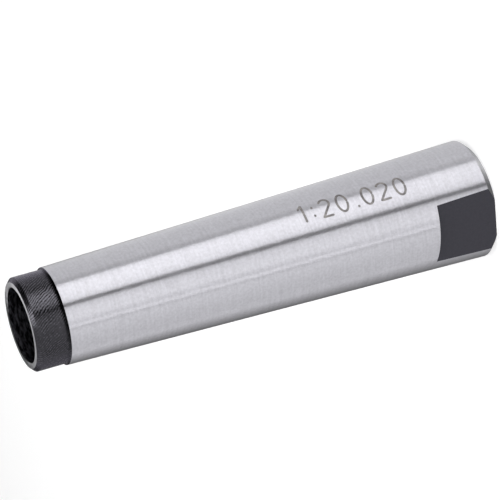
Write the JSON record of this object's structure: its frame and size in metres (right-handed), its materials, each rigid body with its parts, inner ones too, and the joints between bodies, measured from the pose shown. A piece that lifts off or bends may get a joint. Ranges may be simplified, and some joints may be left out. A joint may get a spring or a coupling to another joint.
{
  "type": "morse taper sleeve",
  "caption": "Short steel sleeve, slowly tapered outside, with a smaller tapered socket in its big end, wrench flats beside it and a plain collar with an open bore at the small end.",
  "frame": {"origin": "centre of the big end face, on which the sleeve stands", "axes": "+Z along the axis from the big end to the small end, the wrench flats face +X and -X"},
  "size_m": [0.0176, 0.018, 0.0727],
  "materials": {
    "steel": "ground bright on the taper, blackened on the collar, the flats and the bore"
  },
  "bodies": {
    "root": {"sleeve": "steel"}
  },
  "joints": []
}
